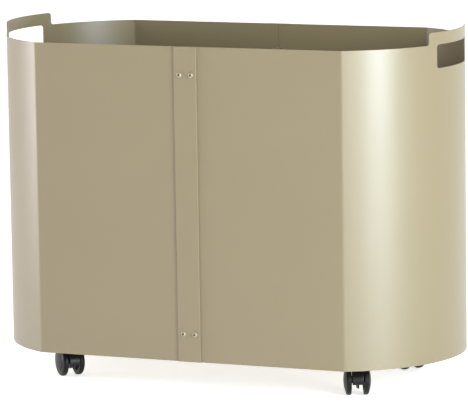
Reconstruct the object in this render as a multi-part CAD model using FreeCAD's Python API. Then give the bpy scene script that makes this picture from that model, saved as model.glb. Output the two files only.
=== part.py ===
"""Laundry sorter on wheels: a sheet-metal tub in two U-shaped halves, split inside by a divider,
on four twin-wheel casters.

Millimetres. X runs along the length, Y from the front (-Y) to the back (+Y), Z up.
The origin is the middle of the footprint, on the floor.
"""
import FreeCAD, Part
import math
import os

# ---- driving dimensions ----
LENGTH = 800.0            # over the rounded ends
WIDTH = 400.0             # over the two flat sides of the shell
FLAT_LENGTH = 547.0       # flat part of each side, crease to crease
CREASE_RADIUS = 12.0      # outer bend radius where a flat side meets a rounded end
SHEET = 1.5               # thickness of every folded sheet
SEAM_GAP = 0.4            # gap between the two half shells
GROUND_CLEARANCE = 51.5   # floor to the shell's bottom edge
SHELL_HEIGHT = 524.0      # bottom edge to rim
TAB_RISE = 20.5           # how far each end stands up above the rim
TAB_WIDTH = 170.0
HANDLE_WIDTH = 134.0
HANDLE_HEIGHT = 38.6
CORNER_RADIUS = 5.0       # corners of the tabs and of the handle slots

STRIP_WIDTH = 40.0
STRIP_THICKNESS = 3.0
STRIP_EDGE_RADIUS = 0.6
SCREW_OFFSET = 10.3       # strip screws, either side of the seam
SCREW_MARGIN = 46.6       # strip screws, from the rim and from the bottom edge
SCREW_DIAMETER = 5.0
SCREW_HEAD_DIAMETER = 9.0
SCREW_HEAD_HEIGHT = 2.6
SCREW_HEAD_RIM = 0.6      # straight part of the head, under its dome
SCREW_SOCKET = 3.0        # across the flats of the hexagon socket
SCREW_SOCKET_DEPTH = 1.6
SCREW_HOLE_DIAMETER = 5.4
CLINCH_NUT_DIAMETER = 8.0
CLINCH_NUT_HEIGHT = 3.5

FLOOR_UNDERSIDE = 62.0
FLOOR_FLANGE = 9.0        # down-turned edges of each floor, below its underside
FLANGE_START = 24.0       # side flanges, from the middle of the tub
FLANGE_END = 240.0
DIVIDER_TOP_DROP = 41.0   # rim to the top of the divider
DIVIDER_BEAD = 5.0        # diameter of the rolled top edge
DIVIDER_BEAD_BORE = 2.0
DIVIDER_FLANGE = 20.0
SEAM_FLANGE_MARGIN = 12.0 # seam flanges, from the inside of the shell
FIT_GAP = 0.4             # between sheets that pass each other
JOINT_BOLT_DIAMETER = 4.0
JOINT_BOLT_HEAD = 2.8
JOINT_BOLT_SPACING = 120.0
BOLT_CLEARANCE = 0.2      # radial, in a bolt hole
NUT_HEIGHT = 3.2
NUT_ACROSS_FLATS = 7.0
THREAD_PROUD = 1.0        # bolt end beyond its nut

WHEEL_DIAMETER = 50.0
CASTER_X = 263.7          # swivel axes, from the middle
CASTER_Y = 119.6
TRAIL = 9.0               # swivel axis to wheel axle
PLATE_SIZE = 42.0
PLATE_THICKNESS = 3.0
PLATE_CORNER = 4.0
STUD_OFFSET = 14.5
STUD_DIAMETER = 4.0
KINGPIN_DIAMETER = 8.0
KINGPIN_COLLAR_RADIUS = 7.0
KINGPIN_COLLAR_HEIGHT = 2.4
RUNNING_CLEARANCE = 0.05  # radial, shaft in bore
BOSS_TOP = 55.5           # the caster body's boss around its kingpin
BOSS_BOTTOM = 28.0
BOSS_RADIUS = 8.0
BORE_END = 1.5            # closed bottom of the boss
WASHER_RADIUS = 7.6
WASHER_THICKNESS = 0.9
RING_HEIGHT = 33.0        # lower side of the kingpin's groove
RING_OUTER_RADIUS = 5.4
RING_INNER_RADIUS = 3.4
RING_THICKNESS = 1.0
RING_PLAY = 0.1
RING_MOUTH = 3.0
HOOD_RADIUS = 27.5        # outside of the hood between the wheels, around the axle
HOOD_THICKNESS = 2.5
HOOD_HALF_WIDTH = 9.4
HOOD_EDGE_RADIUS = 1.5
HOOD_TRAILING = -8.0      # ends of the hood, in degrees about the axle
HOOD_LEADING = 148.0
WEB_THICKNESS = 3.0
WEB_RADIUS = 13.5         # web around the axle, below the hood
FIN_BOTTOM = 14.5         # fin under the hood's trailing end
FIN_REACH = 24.0          # axle to the fin's trailing side
FIN_LENGTH = 8.0
AXLE_BOSS_RADIUS = 6.0
AXLE_DIAMETER = 6.0
AXLE_LENGTH = 38.8
AXLE_CHAMFER = 0.6
WHEEL_INNER = 10.4        # caster centreline to the wheel's inner face
WHEEL_EDGE = 19.3         # centreline to the rim of the domed face
WHEEL_CROWN = 22.8        # centreline to the middle of the dome
RIM_RADIUS = 20.5         # wheel disc, inside the tyre
RIM_SETBACK = 0.3         # disc behind the tyre's inner side
HUB_RADIUS = 6.5
RECESS_RADIUS = 17.5      # hollow on the wheel's inner side
RECESS_DEPTH = 17.0
RIBS = 6
RIB_THICKNESS = 1.6
DOME_GROOVE_RADIUS = 15.5
DOME_GROOVE_DEPTH = 0.6
TYRE_INNER_ROUND = 1.5
TYRE_SHOULDER = 15.5      # centreline to where the tread starts to round over
TYRE_LIP_RADIUS = 21.3

# resting heading of each caster: its axle's angle from +X, in degrees
CASTERS = {
    "front_left": (-1, -1, 45.5),
    "front_right": (1, -1, 25.9),
    "back_left": (-1, 1, 38.0),
    "back_right": (1, 1, 51.0),
}

# ---- worked out from those ----
RIM = GROUND_CLEARANCE + SHELL_HEIGHT
TOP = RIM + TAB_RISE
END_SAGITTA = (LENGTH - FLAT_LENGTH) / 2
END_RADIUS = ((WIDTH / 2) ** 2 + END_SAGITTA ** 2) / (2 * END_SAGITTA)
END_CENTRE_X = LENGTH / 2 - END_RADIUS
BEND_CENTRE_Y = WIDTH / 2 - CREASE_RADIUS
BEND_CENTRE_X = END_CENTRE_X + math.sqrt((END_RADIUS - CREASE_RADIUS) ** 2 - BEND_CENTRE_Y ** 2)
FLOOR_TOP = FLOOR_UNDERSIDE + SHEET
FLANGE_BOTTOM = FLOOR_UNDERSIDE - FLOOR_FLANGE
SCREW_HEIGHTS = (GROUND_CLEARANCE + SCREW_MARGIN, RIM - SCREW_MARGIN)
DIVIDER_TOP = RIM - DIVIDER_TOP_DROP
INNER_Y = WIDTH / 2 - SHEET
SEAM_FLANGE_HALF = INNER_Y - SEAM_FLANGE_MARGIN
AXLE_HEIGHT = WHEEL_DIAMETER / 2
PLATE_UNDERSIDE = FLOOR_UNDERSIDE - PLATE_THICKNESS
STUD_BOTTOM = PLATE_UNDERSIDE - NUT_HEIGHT - FIT_GAP
MARGIN = 1.0              # cutting tools reach this far past what they cut

X = FreeCAD.Vector(1, 0, 0)
Y = FreeCAD.Vector(0, 1, 0)
Z = FreeCAD.Vector(0, 0, 1)
ORIGIN = FreeCAD.Vector(0, 0, 0)


# ---- shared geometry ----
def vec(x, y, z):
    return FreeCAD.Vector(x, y, z)


def line(start, end):
    return Part.LineSegment(start, end).toShape()


def arc(start, middle, end):
    return Part.Arc(start, middle, end).toShape()


def rounded_face(points, radii, place):
    """A flat face through 2-D points whose corners have the given radii; place turns (a, b) into 3-D."""
    edges = []
    count = len(points)
    corners = []
    for i, (point, radius) in enumerate(zip(points, radii)):
        before = FreeCAD.Vector(*points[i - 1], 0)
        here = FreeCAD.Vector(*point, 0)
        after = FreeCAD.Vector(*points[(i + 1) % count], 0)
        back = (before - here).normalize()
        ahead = (after - here).normalize()
        if radius == 0:
            corners.append((here, None, here))
            continue
        half = back.getAngle(ahead) / 2
        reach = radius / math.tan(half)
        bisector = (back + ahead).normalize()
        centre = here + bisector * (radius / math.sin(half))
        corners.append((here + back * reach, centre - bisector * radius, here + ahead * reach))
    for i, (entry, middle, leave) in enumerate(corners):
        if middle is not None:
            edges.append(arc(place(entry.x, entry.y), place(middle.x, middle.y), place(leave.x, leave.y)))
        following = corners[(i + 1) % count][0]
        if (following - leave).Length > 1e-6:
            edges.append(line(place(leave.x, leave.y), place(following.x, following.y)))
    return Part.Face(Part.Wire(edges))


def hexagon(across_flats, height, base, direction):
    """A hexagonal prism standing on base along direction."""
    radius = across_flats / math.sqrt(3)
    corners = [
        vec(radius * math.cos(math.radians(60 * i)), radius * math.sin(math.radians(60 * i)), 0)
        for i in range(6)
    ]
    prism = Part.Face(Part.makePolygon(corners + corners[:1])).extrude(Z * height)
    prism.Placement = FreeCAD.Placement(base, FreeCAD.Rotation(Z, direction))
    return prism


def hex_nut(across_flats, height, bore, base, direction):
    return hexagon(across_flats, height, base, direction).cut(
        Part.makeCylinder(bore / 2, height, base, direction)
    )


def wall_path(inset, start_x):
    """Edges of the right half's outline, moved inwards by inset, from the front seam round to the back."""
    half_width = WIDTH / 2 - inset
    bend = CREASE_RADIUS - inset
    radius = END_RADIUS - inset
    turn = math.atan2(BEND_CENTRE_Y, BEND_CENTRE_X - END_CENTRE_X)
    on_arc = vec(END_CENTRE_X + radius * math.cos(turn), -radius * math.sin(turn), 0)
    mid_angle = (math.pi / 2 + turn) / 2
    on_bend = vec(BEND_CENTRE_X + bend * math.cos(mid_angle), -BEND_CENTRE_Y - bend * math.sin(mid_angle), 0)
    seam = vec(start_x, -half_width, 0)
    crease = vec(BEND_CENTRE_X, -half_width, 0)

    def across(point):
        return vec(point.x, -point.y, 0)

    return [
        line(seam, crease),
        arc(crease, on_bend, on_arc),
        arc(on_arc, vec(END_CENTRE_X + radius, 0, 0), across(on_arc)),
        arc(across(on_arc), across(on_bend), across(crease)),
        line(across(crease), across(seam)),
    ]


def plan_face(inset, start_x):
    """The right half's plan, closed along the seam."""
    half_width = WIDTH / 2 - inset
    closing = line(vec(start_x, half_width, 0), vec(start_x, -half_width, 0))
    return Part.Face(Part.Wire(wall_path(inset, start_x) + [closing]))


def prism(face, low, high):
    solid = face.extrude(Z * (high - low))
    solid.translate(Z * low)
    return solid


def mirrored(shape, normal):
    return shape.mirror(ORIGIN, normal)


# ---- tub ----
def strip_screw_places():
    """(x, z) of the four screws of one strip, and whether the divider's flange is under them."""
    return [(x, z, x < 0) for x in (-SCREW_OFFSET, SCREW_OFFSET) for z in SCREW_HEIGHTS]


def strip_holes(y_from, y_to):
    """Clearance holes for the strip screws, through y_from to y_to."""
    return Part.Compound([
        Part.makeCylinder(SCREW_HOLE_DIAMETER / 2, y_to - y_from, vec(x, y_from, z), Y)
        for x in (-SCREW_OFFSET, SCREW_OFFSET)
        for z in SCREW_HEIGHTS
    ])


def right_shell():
    """U-shaped half: two flat sides and a rounded end that stands up into a tab with a handle slot."""
    start_x = SEAM_GAP / 2
    ring = plan_face(0, start_x).cut(plan_face(SHEET, start_x - 1))
    wall = ring.extrude(Z * (TOP - GROUND_CLEARANCE))
    wall.translate(Z * GROUND_CLEARANCE)
    reach = LENGTH / 2 + MARGIN
    half_tab = TAB_WIDTH / 2
    low = GROUND_CLEARANCE - MARGIN
    outline = [
        (-reach, low), (reach, low), (reach, RIM), (half_tab, RIM), (half_tab, TOP),
        (-half_tab, TOP), (-half_tab, RIM), (-reach, RIM),
    ]
    corner = CORNER_RADIUS
    radii = [0, 0, 0, corner, corner, corner, corner, 0]
    keep = rounded_face(outline, radii, lambda a, b: vec(-MARGIN, a, b))
    half_slot = HANDLE_WIDTH / 2
    slot_low = RIM - HANDLE_HEIGHT
    slot_outline = [(-half_slot, slot_low), (half_slot, slot_low), (half_slot, RIM), (-half_slot, RIM)]
    slot = rounded_face(slot_outline, [corner] * 4, lambda a, b: vec(END_CENTRE_X, a, b))
    wall = wall.common(keep.extrude(X * reach))
    wall = wall.cut(slot.extrude(X * reach))
    return wall.cut(strip_holes(-WIDTH, WIDTH))


def right_floor():
    """Half of the floor: a plate with edges turned down along the flat sides and along the seam."""
    seam = SHEET / 2
    floor = prism(plan_face(SHEET, seam), FLOOR_UNDERSIDE, FLOOR_TOP)
    side_flange = Part.makeBox(FLANGE_END - FLANGE_START, SHEET, FLOOR_FLANGE + SHEET)
    side_flange.translate(vec(FLANGE_START, INNER_Y - SHEET, FLANGE_BOTTOM))
    seam_flange = Part.makeBox(SHEET, 2 * SEAM_FLANGE_HALF, FLOOR_FLANGE + SHEET)
    seam_flange.translate(vec(seam, -SEAM_FLANGE_HALF, FLANGE_BOTTOM))
    floor = floor.fuse([side_flange, mirrored(side_flange, Y), seam_flange]).removeSplitter()
    return floor.cut(joint_bolt_holes())


def left_floor():
    """Mirror image of the right floor, with notches at the seam for the divider's flanges."""
    depth = SHEET + FIT_GAP
    notch = Part.makeBox(DIVIDER_FLANGE + FIT_GAP, depth, SHEET + 2 * MARGIN)
    notch.translate(vec(-DIVIDER_FLANGE - FIT_GAP, INNER_Y - depth, FLOOR_UNDERSIDE - MARGIN))
    return mirrored(right_floor(), X).cut([notch, mirrored(notch, Y)])


def stud_places(x, y):
    return [(x + i * STUD_OFFSET, y + j * STUD_OFFSET) for i in (-1, 1) for j in (-1, 1)]


def caster_stud_places():
    return [
        place
        for side_x, side_y, _ in CASTERS.values()
        for place in stud_places(side_x * CASTER_X, side_y * CASTER_Y)
    ]


def caster_studs():
    """Studs welded to the floors' undersides, four to a caster."""
    length = FLOOR_UNDERSIDE - STUD_BOTTOM
    return Part.Compound([
        Part.makeCylinder(STUD_DIAMETER / 2, length, vec(x, y, STUD_BOTTOM)) for x, y in caster_stud_places()
    ])


def joint_bolt_places():
    """(y, z) of the bolts that clamp the floors' seam flanges to the divider."""
    height = FLANGE_BOTTOM + FLOOR_FLANGE / 2
    return [(i * JOINT_BOLT_SPACING, height) for i in (-1, 0, 1)]


def joint_bolt_holes():
    radius = JOINT_BOLT_DIAMETER / 2 + BOLT_CLEARANCE
    reach = 2 * SHEET
    return Part.Compound([
        Part.makeCylinder(radius, 2 * reach, vec(-reach, y, z), X) for y, z in joint_bolt_places()
    ])


def divider():
    """Sheet across the seam, with a rolled top edge, and flanges that the strip screws hold."""
    half = SHEET / 2
    bead_radius = DIVIDER_BEAD / 2
    bead_z = DIVIDER_TOP - bead_radius
    sheet_bottom = FLOOR_TOP + FIT_GAP
    sheet = Part.makeBox(SHEET, 2 * INNER_Y, bead_z - sheet_bottom)
    sheet.translate(vec(-half, -INNER_Y, sheet_bottom))
    foot = Part.makeBox(SHEET, 2 * SEAM_FLANGE_HALF, FLOOR_TOP + SHEET - FLANGE_BOTTOM)
    foot.translate(vec(-half, -SEAM_FLANGE_HALF, FLANGE_BOTTOM))
    bead_y = INNER_Y - half
    bead = Part.makeCylinder(bead_radius, 2 * bead_y, vec(0, -bead_y, bead_z), Y)
    bore = Part.makeCylinder(DIVIDER_BEAD_BORE / 2, 2 * INNER_Y, vec(0, -INNER_Y, bead_z), Y)
    flange_top = DIVIDER_TOP - bead_radius
    outline = [
        (half, sheet_bottom), (half, flange_top), (-DIVIDER_FLANGE, flange_top),
        (-DIVIDER_FLANGE, FLOOR_UNDERSIDE), (-half, FLOOR_UNDERSIDE), (-half, sheet_bottom),
    ]
    radii = [0, 0, CORNER_RADIUS, 0, 0, 0]
    flange = rounded_face(outline, radii, lambda a, b: vec(a, INNER_Y - SHEET, b)).extrude(Y * SHEET)
    panel = sheet.fuse([foot, bead, flange, mirrored(flange, Y)]).cut(bore).removeSplitter()
    return panel.cut(strip_holes(-WIDTH, WIDTH)).cut(joint_bolt_holes())


def joint_strip():
    """Front cover strip over the seam."""
    strip = Part.makeBox(STRIP_WIDTH, STRIP_THICKNESS, SHELL_HEIGHT)
    strip.translate(vec(-STRIP_WIDTH / 2, -WIDTH / 2 - STRIP_THICKNESS, GROUND_CLEARANCE))
    outer = [
        edge for edge in strip.Edges
        if all(abs(v.Y + WIDTH / 2 + STRIP_THICKNESS) < 1e-6 for v in edge.Vertexes)
    ]
    return strip.makeFillet(STRIP_EDGE_RADIUS, outer).cut(strip_holes(-WIDTH, 0))


def strip_screw(x, z, over_flange):
    """Button-head screw of the front strip, its end flush with its nut."""
    face_y = -WIDTH / 2 - STRIP_THICKNESS
    under = 2 * SHEET if over_flange else SHEET
    length = STRIP_THICKNESS + under + CLINCH_NUT_HEIGHT
    radius = SCREW_HEAD_DIAMETER / 2
    top = SCREW_HEAD_HEIGHT
    crown = radius * 0.55
    shoulder = vec(radius * 0.86, 0, top * 0.72)
    profile = Part.Wire([
        line(ORIGIN, vec(radius, 0, 0)),
        line(vec(radius, 0, 0), vec(radius, 0, SCREW_HEAD_RIM)),
        arc(vec(radius, 0, SCREW_HEAD_RIM), shoulder, vec(crown, 0, top)),
        line(vec(crown, 0, top), vec(0, 0, top)),
        line(vec(0, 0, top), ORIGIN),
    ])
    head = Part.Face(profile).revolve(ORIGIN, Z, 360)
    socket = hexagon(SCREW_SOCKET, top, Z * (top - SCREW_SOCKET_DEPTH), Z)
    shank = Part.makeCylinder(SCREW_DIAMETER / 2, length, Z * -length)
    screw = head.cut(socket).fuse(shank)
    screw.Placement = FreeCAD.Placement(vec(x, face_y, z), FreeCAD.Rotation(Z, Y * -1))
    return screw


def clinch_nut(x, z, over_flange):
    """Round nut pressed into the sheet behind a strip screw of the front strip."""
    seat = vec(x, -INNER_Y + (SHEET if over_flange else 0), z)
    body = Part.makeCylinder(CLINCH_NUT_DIAMETER / 2, CLINCH_NUT_HEIGHT, seat, Y)
    return body.cut(Part.makeCylinder(SCREW_DIAMETER / 2 + BOLT_CLEARANCE / 2, CLINCH_NUT_HEIGHT, seat, Y))


def joint_bolts():
    """Hexagon-head bolts through the floors' seam flanges."""
    start = -SHEET * 1.5
    length = 3 * SHEET + NUT_HEIGHT + THREAD_PROUD
    bolts = []
    for y, z in joint_bolt_places():
        head = hexagon(NUT_ACROSS_FLATS, JOINT_BOLT_HEAD, vec(start, y, z), X * -1)
        shank = Part.makeCylinder(JOINT_BOLT_DIAMETER / 2, length, vec(start, y, z), X)
        bolts.append(head.fuse(shank))
    return Part.Compound(bolts)


def joint_nuts():
    bore = JOINT_BOLT_DIAMETER + BOLT_CLEARANCE
    return Part.Compound([
        hex_nut(NUT_ACROSS_FLATS, NUT_HEIGHT, bore, vec(SHEET * 1.5, y, z), X) for y, z in joint_bolt_places()
    ])


# ---- casters, in their own frame: swivel axis on Z, axle along X, wheels trailing towards -Y ----
def caster_plate():
    half = PLATE_SIZE / 2
    square = [(-half, -half), (half, -half), (half, half), (-half, half)]
    face = rounded_face(square, [PLATE_CORNER] * 4, lambda a, b: vec(a, b, PLATE_UNDERSIDE))
    plate = face.extrude(Z * PLATE_THICKNESS)
    hole = STUD_DIAMETER / 2 + BOLT_CLEARANCE
    holes = [
        Part.makeCylinder(hole, PLATE_THICKNESS, vec(x, y, PLATE_UNDERSIDE)) for x, y in stud_places(0, 0)
    ]
    centre = Part.makeCylinder(KINGPIN_DIAMETER / 2, PLATE_THICKNESS, Z * PLATE_UNDERSIDE)
    return plate.cut(holes + [centre])


def kingpin():
    """Pin riveted into the plate, with a collar under it and a groove for the retaining ring."""
    bottom = BOSS_BOTTOM + BORE_END + FIT_GAP
    pin = Part.makeCylinder(KINGPIN_DIAMETER / 2, FLOOR_UNDERSIDE - bottom, Z * bottom)
    collar_bottom = PLATE_UNDERSIDE - KINGPIN_COLLAR_HEIGHT
    collar = Part.makeCylinder(KINGPIN_COLLAR_RADIUS, KINGPIN_COLLAR_HEIGHT, Z * collar_bottom)
    groove_height = RING_THICKNESS + 2 * RING_PLAY
    groove = Part.makeCylinder(KINGPIN_DIAMETER, groove_height, Z * RING_HEIGHT)
    core = Part.makeCylinder(RING_INNER_RADIUS - RING_PLAY, groove_height, Z * RING_HEIGHT)
    return pin.fuse(collar).cut(groove.cut(core)).removeSplitter()


def thrust_washer():
    gap = (PLATE_UNDERSIDE - KINGPIN_COLLAR_HEIGHT - BOSS_TOP - WASHER_THICKNESS) / 2
    washer = Part.makeCylinder(WASHER_RADIUS, WASHER_THICKNESS, Z * (BOSS_TOP + gap))
    bore = Part.makeCylinder(KINGPIN_DIAMETER / 2 + BOLT_CLEARANCE, PLATE_THICKNESS, Z * BOSS_TOP)
    return washer.cut(bore)


def retaining_ring():
    """Open ring in the kingpin's groove."""
    base = RING_HEIGHT + RING_PLAY
    ring = Part.makeCylinder(RING_OUTER_RADIUS, RING_THICKNESS, Z * base)
    ring = ring.cut(Part.makeCylinder(RING_INNER_RADIUS, RING_THICKNESS, Z * base))
    mouth = Part.makeBox(RING_MOUTH, RING_OUTER_RADIUS, RING_THICKNESS, vec(-RING_MOUTH / 2, 0, base))
    return ring.cut(mouth)


def about_axle(radius, half_width):
    return Part.makeCylinder(radius, 2 * half_width, vec(-half_width, -TRAIL, AXLE_HEIGHT), X)


def hood_sector(radius, half_width):
    """Pie slice around the axle, from the hood's trailing end up over the top to its leading end."""
    slice_ = Part.makeCylinder(radius, 2 * half_width, ORIGIN, Z, HOOD_LEADING - HOOD_TRAILING)
    slice_.rotate(ORIGIN, Z, HOOD_TRAILING)
    slice_.translate(Z * -half_width)
    turned = FreeCAD.Rotation(Y * -1, Z, X * -1, "XYZ")
    slice_.Placement = FreeCAD.Placement(vec(0, -TRAIL, AXLE_HEIGHT), turned).multiply(slice_.Placement)
    return slice_


def hood():
    """Curved cover between the wheels, with its long edges rounded."""
    cover = hood_sector(HOOD_RADIUS, HOOD_HALF_WIDTH)
    cover = cover.cut(about_axle(HOOD_RADIUS - HOOD_THICKNESS, HOOD_HALF_WIDTH + MARGIN))
    outer_edges = [
        edge for edge in cover.Edges
        if isinstance(edge.Curve, Part.Circle) and abs(edge.Curve.Radius - HOOD_RADIUS) < FIT_GAP
    ]
    return cover.makeFillet(HOOD_EDGE_RADIUS, outer_edges)


def caster_body():
    """Moulded body: hood, web and axle boss between the wheels, and the kingpin's boss."""
    half_web = WEB_THICKNESS / 2
    sink = HOOD_THICKNESS / 5
    web = hood_sector(HOOD_RADIUS - sink, half_web)
    web_disc = about_axle(WEB_RADIUS, half_web)
    fin_place = vec(-half_web, -TRAIL - FIN_REACH, FIN_BOTTOM)
    fin = Part.makeBox(WEB_THICKNESS, FIN_LENGTH, AXLE_HEIGHT - FIN_BOTTOM, fin_place)
    axle_boss = about_axle(AXLE_BOSS_RADIUS, WHEEL_INNER - sink)
    boss = Part.makeCylinder(BOSS_RADIUS, BOSS_TOP - BOSS_BOTTOM, Z * BOSS_BOTTOM)
    body = hood().fuse([web, web_disc, fin, axle_boss, boss])
    kingpin_bore = KINGPIN_DIAMETER / 2 + RUNNING_CLEARANCE
    bore = Part.makeCylinder(kingpin_bore, BOSS_TOP, Z * (BOSS_BOTTOM + BORE_END))
    recess_height = RING_THICKNESS + 14 * RING_PLAY
    recess = Part.makeCylinder(RING_OUTER_RADIUS + FIT_GAP, recess_height, Z * (RING_HEIGHT - 6 * RING_PLAY))
    return body.cut([bore, recess, about_axle(AXLE_DIAMETER / 2, HOOD_HALF_WIDTH + MARGIN)])


def axle():
    pin = about_axle(AXLE_DIAMETER / 2, AXLE_LENGTH / 2)
    return pin.makeChamfer(AXLE_CHAMFER, [edge for edge in pin.Edges if edge.Closed])


def revolved(edges):
    """Turn a closed outline in (x, radius) about the axle's axis."""
    solid = Part.Face(Part.Wire(edges)).revolve(ORIGIN, X, 360)
    solid.translate(vec(0, -TRAIL, AXLE_HEIGHT))
    return solid


def outline(points):
    """Straight edges through (x, radius) points, in the plane of the axle."""
    places = [vec(x, radius, 0) for x, radius in points]
    return [line(a, b) for a, b in zip(places, places[1:])]


def wheel_ribs(inner):
    """Radial ribs in the hollow of the wheel's inner side."""
    overlap = RIB_THICKNESS / 4
    start = inner + 2 * MARGIN
    length = RECESS_DEPTH + overlap - start
    height = RECESS_RADIUS - HUB_RADIUS + 2 * overlap
    ribs = []
    for i in range(RIBS):
        rib = Part.makeBox(length, RIB_THICKNESS, height)
        rib.translate(vec(start, -RIB_THICKNESS / 2, HUB_RADIUS - overlap))
        rib.rotate(ORIGIN, X, 360 / RIBS * i)
        rib.translate(vec(0, -TRAIL, AXLE_HEIGHT))
        ribs.append(rib)
    return ribs


def wheel():
    """Disc with a domed outer face, a blind bore for the axle, and a ribbed recess on its inner side."""
    inner = WHEEL_INNER + RIM_SETBACK
    bore = AXLE_DIAMETER / 2 + RUNNING_CLEARANCE
    bore_end = AXLE_LENGTH / 2 + RIM_SETBACK
    sagitta = WHEEL_CROWN - WHEEL_EDGE
    dome_radius = (RIM_RADIUS ** 2 + sagitta ** 2) / (2 * sagitta)

    def dome(radius):
        return WHEEL_CROWN - dome_radius + math.sqrt(dome_radius ** 2 - radius ** 2)

    edges = outline([
        (WHEEL_CROWN, 0), (bore_end, 0), (bore_end, bore), (inner, bore), (inner, HUB_RADIUS),
        (RECESS_DEPTH, HUB_RADIUS), (RECESS_DEPTH, RECESS_RADIUS), (inner, RECESS_RADIUS),
        (inner, RIM_RADIUS), (WHEEL_EDGE, RIM_RADIUS),
    ])
    half = RIM_RADIUS / 2
    edges.append(arc(vec(WHEEL_EDGE, RIM_RADIUS, 0), vec(dome(half), half, 0), vec(WHEEL_CROWN, 0, 0)))
    groove_middle = vec(dome(DOME_GROOVE_RADIUS), -TRAIL, AXLE_HEIGHT)
    groove = Part.makeTorus(DOME_GROOVE_RADIUS, DOME_GROOVE_DEPTH, groove_middle, X)
    return revolved(edges).fuse(wheel_ribs(inner)).removeSplitter().cut(groove)


def tyre():
    """Soft tread, flat on the inner side of the wheel and rounded over to the dome."""
    inner = WHEEL_INNER
    radius = WHEEL_DIAMETER / 2
    fillet = TYRE_INNER_ROUND
    corner = fillet * (1 - math.sqrt(0.5))
    lip = (WHEEL_EDGE, TYRE_LIP_RADIUS)
    edges = outline([lip, (WHEEL_EDGE, RIM_RADIUS), (inner, RIM_RADIUS), (inner, radius - fillet)])
    inner_middle = vec(inner + corner, radius - corner, 0)
    edges.append(arc(vec(inner, radius - fillet, 0), inner_middle, vec(inner + fillet, radius, 0)))
    edges += outline([(inner + fillet, radius), (TYRE_SHOULDER, radius)])
    outer_middle = vec(
        TYRE_SHOULDER + 0.63 * (WHEEL_EDGE - TYRE_SHOULDER), radius - 0.32 * (radius - TYRE_LIP_RADIUS), 0
    )
    edges.append(arc(vec(TYRE_SHOULDER, radius, 0), outer_middle, vec(WHEEL_EDGE, TYRE_LIP_RADIUS, 0)))
    return revolved(edges)


def caster_nuts():
    """Nuts that hold the caster plates on the floors' weld studs."""
    bore = STUD_DIAMETER + BOLT_CLEARANCE
    return Part.Compound([
        hex_nut(NUT_ACROSS_FLATS, NUT_HEIGHT, bore, vec(x, y, PLATE_UNDERSIDE - NUT_HEIGHT), Z)
        for x, y in caster_stud_places()
    ])


def caster_parts(name, side_x, side_y, heading):
    """One caster's pieces in place: the plate square to the tub, the rest turned to its heading."""
    place = FreeCAD.Placement(
        vec(side_x * CASTER_X, side_y * CASTER_Y, 0), FreeCAD.Rotation(Z, heading)
    )
    square = FreeCAD.Placement(place.Base, FreeCAD.Rotation())
    outer_wheel = wheel()
    outer_tyre = tyre()
    pieces = {
        "kingpin": kingpin(),
        "thrust_washer": thrust_washer(),
        "retaining_ring": retaining_ring(),
        "caster_body": caster_body(),
        "axle": axle(),
        "wheel_a": mirrored(outer_wheel, X),
        "tyre_a": mirrored(outer_tyre, X),
        "wheel_b": outer_wheel,
        "tyre_b": outer_tyre,
    }
    placed = {f"{name}_{piece}": shape.transformed(place.toMatrix()) for piece, shape in pieces.items()}
    placed[f"{name}_caster_plate"] = caster_plate().transformed(square.toMatrix())
    return placed


def build():
    shell = right_shell()
    strip = joint_strip()
    screws = Part.Compound([strip_screw(*place) for place in strip_screw_places()])
    nuts = Part.Compound([clinch_nut(*place) for place in strip_screw_places()])
    parts = {
        "right_shell": shell,
        "left_shell": mirrored(shell, X),
        "right_floor": right_floor(),
        "left_floor": left_floor(),
        "divider": divider(),
        "front_strip": strip,
        "back_strip": mirrored(strip, Y),
        "front_strip_screws": screws,
        "back_strip_screws": mirrored(screws, Y),
        "front_strip_nuts": nuts,
        "back_strip_nuts": mirrored(nuts, Y),
        "floor_joint_bolts": joint_bolts(),
        "floor_joint_nuts": joint_nuts(),
        "caster_studs": caster_studs(),
        "caster_nuts": caster_nuts(),
    }
    for name, (side_x, side_y, heading) in CASTERS.items():
        parts.update(caster_parts(name, side_x, side_y, heading))
    return parts


os.makedirs("parts", exist_ok=True)
for node, shape in build().items():
    shape.exportStep(f"parts/{node}.step")
    print(f"{node}: {len(shape.Solids)} solid(s), {shape.Volume:.0f} mm3, valid {shape.isValid()}")
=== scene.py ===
"""Looks of the laundry sorter: a champagne powder-coated sheet-metal tub on black twin-wheel casters."""
import math

import bmesh
import bpy
from mathutils import Matrix, Vector


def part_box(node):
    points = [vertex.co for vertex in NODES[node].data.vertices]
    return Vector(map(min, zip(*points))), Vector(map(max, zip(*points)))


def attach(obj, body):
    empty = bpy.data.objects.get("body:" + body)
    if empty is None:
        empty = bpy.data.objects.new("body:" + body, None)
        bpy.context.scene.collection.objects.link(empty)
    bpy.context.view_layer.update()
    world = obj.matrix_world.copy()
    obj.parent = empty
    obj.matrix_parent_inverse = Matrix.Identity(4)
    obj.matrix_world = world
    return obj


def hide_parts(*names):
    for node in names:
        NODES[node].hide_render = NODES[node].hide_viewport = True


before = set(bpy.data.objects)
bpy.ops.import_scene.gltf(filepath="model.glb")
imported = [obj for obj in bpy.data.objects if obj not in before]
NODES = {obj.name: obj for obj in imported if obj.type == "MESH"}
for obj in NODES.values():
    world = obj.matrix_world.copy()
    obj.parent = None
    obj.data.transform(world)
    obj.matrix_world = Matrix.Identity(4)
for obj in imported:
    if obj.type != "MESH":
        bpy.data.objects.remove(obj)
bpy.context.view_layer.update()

# ---- sizes, in metres: the outer ones come from the frame ----
SHELL_LOW, SHELL_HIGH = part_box("right_shell")
HALF_LENGTH = 0.4
HALF_WIDTH = SHELL_HIGH.y
BOTTOM = SHELL_LOW.z
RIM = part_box("front_strip")[1].z
TOP = SHELL_HIGH.z
SHEET = 0.0015
HALF_FLAT = 0.2735           # middle of the tub to the crease
CREASE_RADIUS = 0.012
HALF_TAB = 0.085
HALF_HANDLE = 0.067
HANDLE_HEIGHT = 0.0386
CORNER_RADIUS = 0.005        # corners of the tabs and the handle slots
SEAM = 0.0002                # half the gap between the half shells
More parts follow.
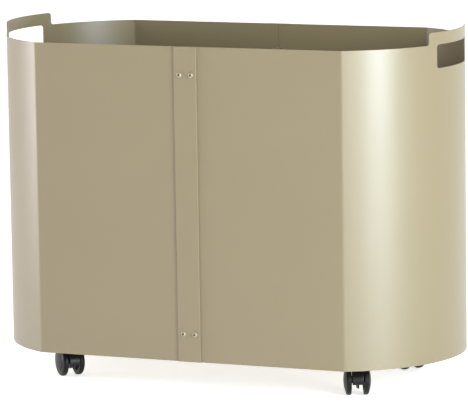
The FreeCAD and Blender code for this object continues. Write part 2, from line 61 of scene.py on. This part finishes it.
CUT_EDGE_RADIUS = 0.0004
MERGE_DISTANCE = 1e-6
SCREW_OFFSET = 0.0103        # strip screws, either side of the seam
SCREW_MARGIN = 0.0466        # strip screws, from the rim and from the bottom edge
SOCKET_RADIUS = 0.0017

END_SAGITTA = HALF_LENGTH - HALF_FLAT
END_RADIUS = (HALF_WIDTH ** 2 + END_SAGITTA ** 2) / (2 * END_SAGITTA)
END_X = HALF_LENGTH - END_RADIUS
BEND_Y = HALF_WIDTH - CREASE_RADIUS
BEND_X = END_X + math.sqrt((END_RADIUS - CREASE_RADIUS) ** 2 - BEND_Y ** 2)
ARC_ANGLE = math.atan2(BEND_Y, BEND_X - END_X)
BEND_ANGLE = math.pi / 2 - ARC_ANGLE
ARC_RUN = END_RADIUS * ARC_ANGLE
BEND_RUN = CREASE_RADIUS * BEND_ANGLE
HALF_RUN = ARC_RUN + BEND_RUN + BEND_X - SEAM


# ---- node helpers ----
class Nodes:
    """A short way to add and link shader nodes."""

    def __init__(self, material):
        self.tree = material.node_tree

    def add(self, kind, inputs=None, **settings):
        node = self.tree.nodes.new(kind)
        for key, value in settings.items():
            setattr(node, key, value)
        for key, value in (inputs or {}).items():
            if isinstance(value, bpy.types.NodeSocket):
                self.tree.links.new(value, node.inputs[key])
            else:
                node.inputs[key].default_value = value
        return node

    def link(self, source, target):
        self.tree.links.new(source, target)


def new_material(name, **principled):
    material = bpy.data.materials.new(name)
    material.use_nodes = True
    shader = material.node_tree.nodes["Principled BSDF"]
    for key, value in principled.items():
        shader.inputs[key.replace("_", " ")].default_value = value
    return material, Nodes(material), shader


def noise(nodes, coords, scale, detail=3.0, roughness=0.5):
    return nodes.add(
        "ShaderNodeTexNoise",
        {"Vector": coords, "Scale": scale, "Detail": detail, "Roughness": roughness},
    ).outputs["Fac"]


def ramp_value(nodes, fac, low, high, from_low=0.3, from_high=0.7):
    return nodes.add(
        "ShaderNodeMapRange",
        {"Value": fac, "From Min": from_low, "From Max": from_high, "To Min": low, "To Max": high},
    ).outputs["Result"]


def mixed_colour(nodes, fac, first, second):
    """A blend of two colours, either of which may come from another node."""
    mix = nodes.add("ShaderNodeMix", {"Factor": fac}, data_type="RGBA")
    sockets = [socket for socket in mix.inputs if socket.type == "RGBA"]
    for socket, colour in zip(sockets, (first, second)):
        if isinstance(colour, bpy.types.NodeSocket):
            nodes.link(colour, socket)
        else:
            socket.default_value = (*colour, 1)
    return next(socket for socket in mix.outputs if socket.type == "RGBA")


def maths(nodes, operation, *values):
    return nodes.add("ShaderNodeMath", dict(enumerate(values)), operation=operation).outputs[0]


def length(nodes, vector):
    return nodes.add("ShaderNodeVectorMath", {0: vector}, operation="LENGTH").outputs["Value"]


def object_coords(nodes):
    return nodes.add("ShaderNodeTexCoord").outputs["Object"]


def add_bump(nodes, shader, height, strength, distance):
    bump = nodes.add("ShaderNodeBump", {"Height": height, "Strength": strength, "Distance": distance})
    nodes.link(bump.outputs["Normal"], shader.inputs["Normal"])


def scaled(colour, factor):
    return tuple(min(1.0, channel * factor) for channel in colour)


def shades(nodes, fac, colour, dark, light):
    """A colour that drifts between a darker and a lighter multiple of itself."""
    return mixed_colour(nodes, fac, scaled(colour, dark), scaled(colour, light))


# ---- materials ----
CHAMPAGNE = (0.163, 0.126, 0.061)
CASTER_BLACK = (0.004, 0.004, 0.004)
WHEEL_BLACK = (0.009, 0.009, 0.0085)
TREAD_BLACK = (0.003, 0.003, 0.003)
NATURAL_NYLON = (0.55, 0.54, 0.5)
PALE_PAINT_DARK = (0.26, 0.23, 0.165)
PALE_PAINT_LIGHT = (0.33, 0.29, 0.215)
# painted shade: near-black colour painted over each screw's socket, standing in for the shade in the
# recess
PAINTED_SOCKET_SHADE = (0.012, 0.01, 0.007)
ZINC_GREY = (0.5, 0.51, 0.53)


def powder_coat():
    """Satin powder coat: fine orange peel, faint tone and gloss drift over each panel."""
    material, nodes, shader = new_material("champagne_powder_coat", Metallic=0.0, Specular_IOR_Level=0.9)
    coords = object_coords(nodes)
    drift = noise(nodes, coords, scale=5.0, detail=2.0)
    speckle = noise(nodes, coords, scale=700.0, detail=2.0)
    both = maths(nodes, "ADD", drift, speckle)
    tone = ramp_value(nodes, both, low=0.0, high=1.0, from_low=0.6, from_high=1.4)
    nodes.link(shades(nodes, tone, CHAMPAGNE, dark=0.97, light=1.03), shader.inputs["Base Color"])
    nodes.link(ramp_value(nodes, drift, low=0.37, high=0.41), shader.inputs["Roughness"])
    peel = noise(nodes, coords, scale=420.0, detail=3.0, roughness=0.55)
    add_bump(nodes, shader, peel, strength=0.12, distance=0.0004)
    return material


def moulded_plastic(name, colour, roughness, grain_scale, grain):
    """Moulded plastic with a fine grain; roughness drifts between its two values."""
    material, nodes, shader = new_material(name, Specular_IOR_Level=0.2)
    coords = object_coords(nodes)
    drift = noise(nodes, coords, scale=60.0, detail=3.0)
    tone = ramp_value(nodes, drift, low=0.0, high=1.0)
    nodes.link(shades(nodes, tone, colour, dark=0.8, light=1.25), shader.inputs["Base Color"])
    nodes.link(ramp_value(nodes, drift, *roughness), shader.inputs["Roughness"])
    texture = noise(nodes, coords, scale=grain_scale, detail=2.0)
    add_bump(nodes, shader, texture, strength=grain, distance=0.0002)
    return material


def plated_steel(name, colour, roughness):
    """Metal with a fine mottled finish; roughness drifts between its two values."""
    material, nodes, shader = new_material(name, Metallic=1.0)
    drift = noise(nodes, object_coords(nodes), scale=900.0, detail=4.0, roughness=0.6)
    tone = ramp_value(nodes, drift, low=0.0, high=1.0)
    nodes.link(shades(nodes, tone, colour, dark=0.85, light=1.1), shader.inputs["Base Color"])
    nodes.link(ramp_value(nodes, drift, *roughness), shader.inputs["Roughness"])
    add_bump(nodes, shader, drift, strength=0.1, distance=0.0001)
    return material


def distance_from_screw(nodes, coords):
    """How far a point of a strip is from the axis of its nearest screw."""
    place = nodes.add("ShaderNodeSeparateXYZ", {"Vector": coords})
    aside = maths(nodes, "SUBTRACT", maths(nodes, "ABSOLUTE", place.outputs["X"]), SCREW_OFFSET)
    from_middle = maths(nodes, "SUBTRACT", place.outputs["Z"], (BOTTOM + RIM) / 2)
    reach = (RIM - BOTTOM) / 2 - SCREW_MARGIN
    height = maths(nodes, "SUBTRACT", maths(nodes, "ABSOLUTE", from_middle), reach)
    return length(nodes, nodes.add("ShaderNodeCombineXYZ", {"X": aside, "Y": height}).outputs[0])


def seam_screw():
    """Pale painted screw heads, with shade painted as a dark disc over the socket in the middle of each.
    """
    material, nodes, shader = new_material("seam_screw", Metallic=0.35)
    coords = object_coords(nodes)
    radius = distance_from_screw(nodes, coords)
    inside, outside = SOCKET_RADIUS * 0.9, SOCKET_RADIUS * 1.1
    # Painted shade: a mask around each screw axis where the socket's recess is painted dark
    painted_socket_shade_mask = ramp_value(nodes, radius, low=1.0, high=0.0, from_low=inside, from_high=outside)
    wear = noise(nodes, coords, scale=900.0, detail=4.0, roughness=0.6)
    tone = ramp_value(nodes, wear, low=0.0, high=1.0)
    paint = mixed_colour(nodes, tone, PALE_PAINT_DARK, PALE_PAINT_LIGHT)
    nodes.link(mixed_colour(nodes, painted_socket_shade_mask, paint, PAINTED_SOCKET_SHADE), shader.inputs["Base Color"])
    nodes.link(ramp_value(nodes, wear, low=0.32, high=0.45), shader.inputs["Roughness"])
    add_bump(nodes, shader, wear, strength=0.1, distance=0.0001)
    return material


COAT = powder_coat()
HOOD_PLASTIC = moulded_plastic("caster_nylon", CASTER_BLACK, (0.28, 0.36), grain_scale=1800.0, grain=0.08)
WHEEL_PLASTIC = moulded_plastic("wheel_nylon", WHEEL_BLACK, (0.34, 0.42), grain_scale=1500.0, grain=0.1)
TREAD = moulded_plastic("tread_rubber", TREAD_BLACK, (0.38, 0.5), grain_scale=1200.0, grain=0.15)
WASHER = moulded_plastic("washer_nylon", NATURAL_NYLON, (0.45, 0.55), grain_scale=900.0, grain=0.1)
SCREW_STEEL = seam_screw()
ZINC = plated_steel("zinc_plate", ZINC_GREY, roughness=(0.35, 0.48))


# ---- the half shells ----
def wall_point(run, height, inset):
    """A point of the right half's wall: run is measured along its outside from the tip of the end."""
    side = 1 if run >= 0 else -1
    run = abs(run)
    if run <= ARC_RUN:
        angle = run / END_RADIUS
        centre, radius = (END_X, 0), END_RADIUS - inset
    elif run <= ARC_RUN + BEND_RUN:
        angle = ARC_ANGLE + (run - ARC_RUN) / CREASE_RADIUS
        centre, radius = (BEND_X, BEND_Y), CREASE_RADIUS - inset
    else:
        return Vector((BEND_X - (run - ARC_RUN - BEND_RUN), side * (HALF_WIDTH - inset), height))
    x = centre[0] + radius * math.cos(angle)
    y = centre[1] + radius * math.sin(angle)
    return Vector((x, side * y, height))


def run_at(y):
    """Run along the rounded end at a given distance from its tip across the width."""
    return END_RADIUS * math.asin(y / END_RADIUS)


def corner(point, towards, away, radius, steps=6):
    """Points of a right-angled corner of that radius, from the side it is reached along to the other."""
    centre = Vector(point) + Vector(towards) * radius + Vector(away) * radius
    points = []
    for i in range(steps + 1):
        turn = math.pi / 2 * i / steps
        back = Vector(away) * radius * math.cos(turn)
        onward = Vector(towards) * radius * math.sin(turn)
        points.append(centre - back - onward)
    return points


def half_pattern():
    """Outline of the sheet from the tip of the end round to the back seam, flattened: (run, height)."""
    slot_top, slot_bottom = RIM, RIM - HANDLE_HEIGHT
    tab = corner((HALF_TAB, RIM), (1, 0), (0, 1), CORNER_RADIUS)
    tab += corner((HALF_TAB, TOP), (0, -1), (-1, 0), CORNER_RADIUS)
    slot = corner((HALF_HANDLE, slot_top), (-1, 0), (0, -1), CORNER_RADIUS)
    slot += corner((HALF_HANDLE, slot_bottom), (0, 1), (-1, 0), CORNER_RADIUS)
    points = [(0, BOTTOM), (HALF_RUN, BOTTOM), (HALF_RUN, RIM)]
    points += [(run_at(y), z) for y, z in tab]
    points += [(0, TOP), (0, slot_top)]
    points += [(run_at(y), z) for y, z in slot]
    points += [(0, slot_bottom)]
    return points


def pattern_stations():
    """Runs at which the flat pattern is cut across, so that it bends smoothly."""
    arc_steps, bend_steps, flat_steps = 44, 8, 6
    stations = [ARC_RUN * i / arc_steps for i in range(1, arc_steps + 1)]
    stations += [ARC_RUN + BEND_RUN * i / bend_steps for i in range(1, bend_steps + 1)]
    flat = HALF_RUN - ARC_RUN - BEND_RUN
    stations += [ARC_RUN + BEND_RUN + flat * i / flat_steps for i in range(1, flat_steps)]
    return stations


def flat_pattern():
    """The whole sheet of one half shell, flattened into a mesh that is cut across at every station."""
    bm = bmesh.new()
    for side in (1, -1):
        loop = half_pattern()
        verts = [bm.verts.new((side * run, 0, height)) for run, height in loop]
        bm.faces.new(verts if side > 0 else verts[::-1])
    bmesh.ops.remove_doubles(bm, verts=bm.verts, dist=MERGE_DISTANCE)
    for station in pattern_stations():
        for side in (1, -1):
            bmesh.ops.bisect_plane(
                bm, geom=bm.verts[:] + bm.edges[:] + bm.faces[:], dist=MERGE_DISTANCE,
                plane_co=(side * station, 0, 0), plane_no=(1, 0, 0),
            )
    return bm


def shell_mesh(name, mirror):
    """One half shell: the flat pattern wrapped round the plan outline, with the sheet's thickness."""
    bm = flat_pattern()
    bm.verts.index_update()
    flat = [v.co.copy() for v in bm.verts]
    outer = [[v.index for v in face.verts] for face in bm.faces]
    rim = []
    for edge in bm.edges:
        if len(edge.link_faces) == 1:
            loop = edge.link_loops[0]
            rim.append((loop.vert.index, loop.link_loop_next.vert.index))
    bm.free()
    count = len(flat)
    points = [wall_point(co.x, co.z, inset) for inset in (0, SHEET) for co in flat]
    faces = outer + [[i + count for i in reversed(face)] for face in outer]
    faces += [[b, a, a + count, b + count] for a, b in rim]
    if mirror:
        points = [Vector((-p.x, p.y, p.z)) for p in points]
        faces = [face[::-1] for face in faces]
    mesh = bpy.data.meshes.new(name)
    mesh.from_pydata(points, [], faces)
    mesh.validate()
    bm = bmesh.new()
    bm.from_mesh(mesh)
    bmesh.ops.recalc_face_normals(bm, faces=bm.faces)
    bm.to_mesh(mesh)
    bm.free()
    return mesh


def add_piece(name, mesh, material, body, replaces=()):
    piece = bpy.data.objects.new(name, mesh)
    bpy.context.scene.collection.objects.link(piece)
    mesh.materials.clear()
    mesh.materials.append(material)
    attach(piece, body)
    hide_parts(*replaces)
    return piece


def round_edges(piece, width, angle=35, segments=2):
    """Small rounded edges, with the big faces keeping their own shading."""
    bevel = piece.modifiers.new("round_edges", "BEVEL")
    bevel.width = width
    bevel.segments = segments
    bevel.limit_method = "ANGLE"
    bevel.angle_limit = math.radians(angle)
    weighted = piece.modifiers.new("face_shading", "WEIGHTED_NORMAL")
    weighted.keep_sharp = True
    for polygon in piece.data.polygons:
        polygon.use_smooth = True


for name, mirror in (("right_shell", False), ("left_shell", True)):
    sheet_name = name + "_sheet"
    shell = add_piece(sheet_name, shell_mesh(sheet_name, mirror), COAT, "tub", [name])
    round_edges(shell, CUT_EDGE_RADIUS)


# ---- the CAD nodes that stay, with their finishes ----
def finish_of(node):
    if node.endswith("_strip_screws"):
        return SCREW_STEEL
    if node.endswith(("_floor", "divider", "_strip", "_strip_nuts")):
        return COAT
    if node.endswith("caster_body"):
        return HOOD_PLASTIC
    if "_wheel_" in node:
        return WHEEL_PLASTIC
    if "_tyre_" in node:
        return TREAD
    if node.endswith("thrust_washer"):
        return WASHER
    return ZINC


for node, piece in NODES.items():
    piece.data.materials.clear()
    piece.data.materials.append(finish_of(node))


# ---- stage, light and camera ----
FLOOR_WHITE = 0.9
FLOOR_GLOW_NEAR = 0.66
FLOOR_GLOW_FAR = 1.0
GLOW_START, GLOW_END = 0.8, 5.0          # distances between which the floor's glow rises
FLOOR_SEGMENTS = 96
# Radius and height of each ring of the floor, which turns up into a bowl far away.
FLOOR_RINGS = (
    (0.5, 0), (1, 0), (2, 0), (4, 0), (8, 0), (16, 0), (26, 0), (28, 0.3), (29.5, 1.2), (30, 3), (30, 6),
)
WORLD_STRENGTH = 0.12
AIM = Vector((0, 0, 0.3))                # middle of the tub, which every lamp faces

# Each softbox: name, azimuth, elevation, distance, width, height, watts, colour.
# Azimuth 0 is in front (-Y) and 90 is at the right (+X), in degrees.
SOFTBOXES = (
    ("right_softbox", 62, 16, 3.5, 1.0, 2.4, 193, (0.80, 0.92, 1.0)),
    ("right_fill", 38, 14, 3.5, 0.7, 2.4, 27, (1.0, 0.98, 0.94)),
    ("left_softbox", -75, 14, 3.5, 0.8, 2.4, 88, (1.0, 0.97, 1.0)),
    ("top_softbox", 0, 89, 3.2, 2.4, 2.4, 32, (1, 1, 1)),
    ("back_fill", 165, 20, 3.5, 1.6, 2.0, 26, (1, 1, 1)),
)

CAMERA_PLACE = Vector((2.4834, -5.7574, BOTTOM + 1.1510))
CAMERA_YAW, CAMERA_PITCH, CAMERA_ROLL = 0.4077, 0.1441, -0.0154
CAMERA_LENS = 287.7
CAMERA_SENSOR = 36.0
CAMERA_REACH = 200.0


def floor_mesh():
    verts = [(0, 0, 0)]
    for radius, height in FLOOR_RINGS:
        for i in range(FLOOR_SEGMENTS):
            turn = 2 * math.pi * i / FLOOR_SEGMENTS
            verts.append((radius * math.cos(turn), radius * math.sin(turn), height))
    faces = [(0, 1 + i, 1 + (i + 1) % FLOOR_SEGMENTS) for i in range(FLOOR_SEGMENTS)]
    for ring in range(len(FLOOR_RINGS) - 1):
        for i in range(FLOOR_SEGMENTS):
            a = 1 + ring * FLOOR_SEGMENTS + i
            b = 1 + ring * FLOOR_SEGMENTS + (i + 1) % FLOOR_SEGMENTS
            faces.append((a, a + FLOOR_SEGMENTS, b + FLOOR_SEGMENTS, b))
    mesh = bpy.data.meshes.new("studio_floor")
    mesh.from_pydata(verts, [], faces)
    return mesh


def floor_material():
    """White that glows more with distance, so that the far floor is as pale as the near one."""
    material, nodes, shader = new_material("floor_white", Roughness=0.9)
    shader.inputs["Base Color"].default_value = (FLOOR_WHITE, FLOOR_WHITE, FLOOR_WHITE, 1)
    shader.inputs["Emission Color"].default_value = (1, 1, 1, 1)
    distance = length(nodes, object_coords(nodes))
    glow = ramp_value(nodes, distance, FLOOR_GLOW_NEAR, FLOOR_GLOW_FAR, GLOW_START, GLOW_END)
    nodes.link(glow, shader.inputs["Emission Strength"])
    return material


def add_floor():
    """A wide round pale floor, turned up far away so that no dark edge of it shows."""
    floor = bpy.data.objects.new("studio_floor", floor_mesh())
    bpy.context.scene.collection.objects.link(floor)
    floor.data.materials.append(floor_material())


def add_softbox(name, azimuth, elevation, distance, width, height, watts, colour):
    """A rectangular area light that faces the middle of the tub."""
    a, e = math.radians(azimuth), math.radians(elevation)
    out = Vector((math.sin(a) * math.cos(e), -math.cos(a) * math.cos(e), math.sin(e)))
    light = bpy.data.lights.new(name, "AREA")
    light.shape = "RECTANGLE"
    light.size, light.size_y = width, height
    light.energy = watts
    light.color = colour
    lamp = bpy.data.objects.new(name, light)
    lamp.location = AIM + out * distance
    lamp.rotation_mode = "QUATERNION"
    lamp.rotation_quaternion = (-out).to_track_quat("-Z", "Y")
    bpy.context.scene.collection.objects.link(lamp)


def add_world():
    world = bpy.data.worlds.new("studio")
    world.use_nodes = True
    background = world.node_tree.nodes["Background"]
    background.inputs["Color"].default_value = (1, 1, 1, 1)
    background.inputs["Strength"].default_value = WORLD_STRENGTH
    bpy.context.scene.world = world


def add_camera():
    """Camera to the right of the front, a little above, with a long lens."""
    yaw, pitch, roll = CAMERA_YAW, CAMERA_PITCH, CAMERA_ROLL
    forward = Vector((-math.sin(yaw) * math.cos(pitch), math.cos(yaw) * math.cos(pitch), -math.sin(pitch)))
    level = Vector((math.cos(yaw), math.sin(yaw), 0))
    upright = level.cross(forward)
    right = level * math.cos(roll) + upright * math.sin(roll)
    up = upright * math.cos(roll) - level * math.sin(roll)
    turn = Matrix((right, up, -forward)).transposed()
    data = bpy.data.cameras.new("camera")
    data.sensor_width = CAMERA_SENSOR
    data.lens = CAMERA_LENS
    data.clip_end = CAMERA_REACH
    camera = bpy.data.objects.new("camera", data)
    camera.matrix_world = Matrix.Translation(CAMERA_PLACE) @ turn.to_4x4()
    bpy.context.scene.collection.objects.link(camera)
    bpy.context.scene.camera = camera


add_floor()
add_world()
for softbox in SOFTBOXES:
    add_softbox(*softbox)
add_camera()
bpy.context.scene.view_settings.view_transform = "Standard"
